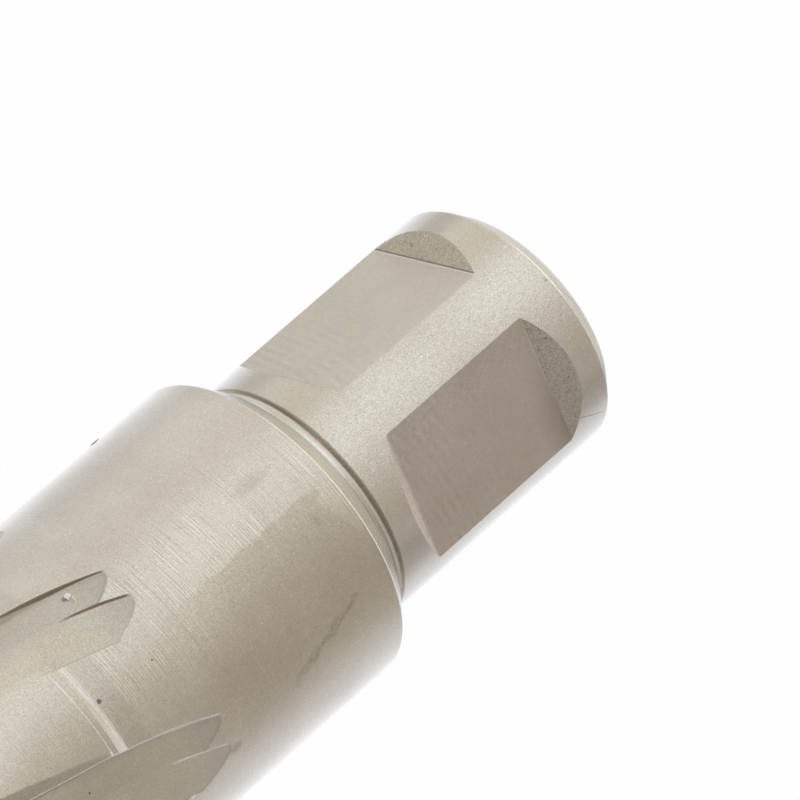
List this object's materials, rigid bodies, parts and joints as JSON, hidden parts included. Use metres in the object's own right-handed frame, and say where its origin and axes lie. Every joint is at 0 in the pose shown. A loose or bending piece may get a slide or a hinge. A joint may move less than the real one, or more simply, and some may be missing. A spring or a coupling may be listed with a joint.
{
  "type": "annular cutter",
  "caption": "Hollow annular cutter with a two-flat drive shank, relief groove, plain collar, right-hand helical flutes and brazed carbide tips.",
  "frame": {"origin": "centre of the shank's end face", "axes": "+Z along the cutter's axis towards the teeth, +X and +Y the outward normals of the two drive flats"},
  "size_m": [0.0238, 0.024, 0.085],
  "materials": {
    "coated_steel": "satin, bead blasted, pale nickel-coloured coating",
    "carbide": "ground cemented carbide"
  },
  "bodies": {
    "root": {"body": "coated_steel", "tip_1": "carbide", "tip_2": "carbide", "tip_3": "carbide", "tip_4": "carbide", "tip_5": "carbide", "tip_6": "carbide"}
  },
  "joints": []
}
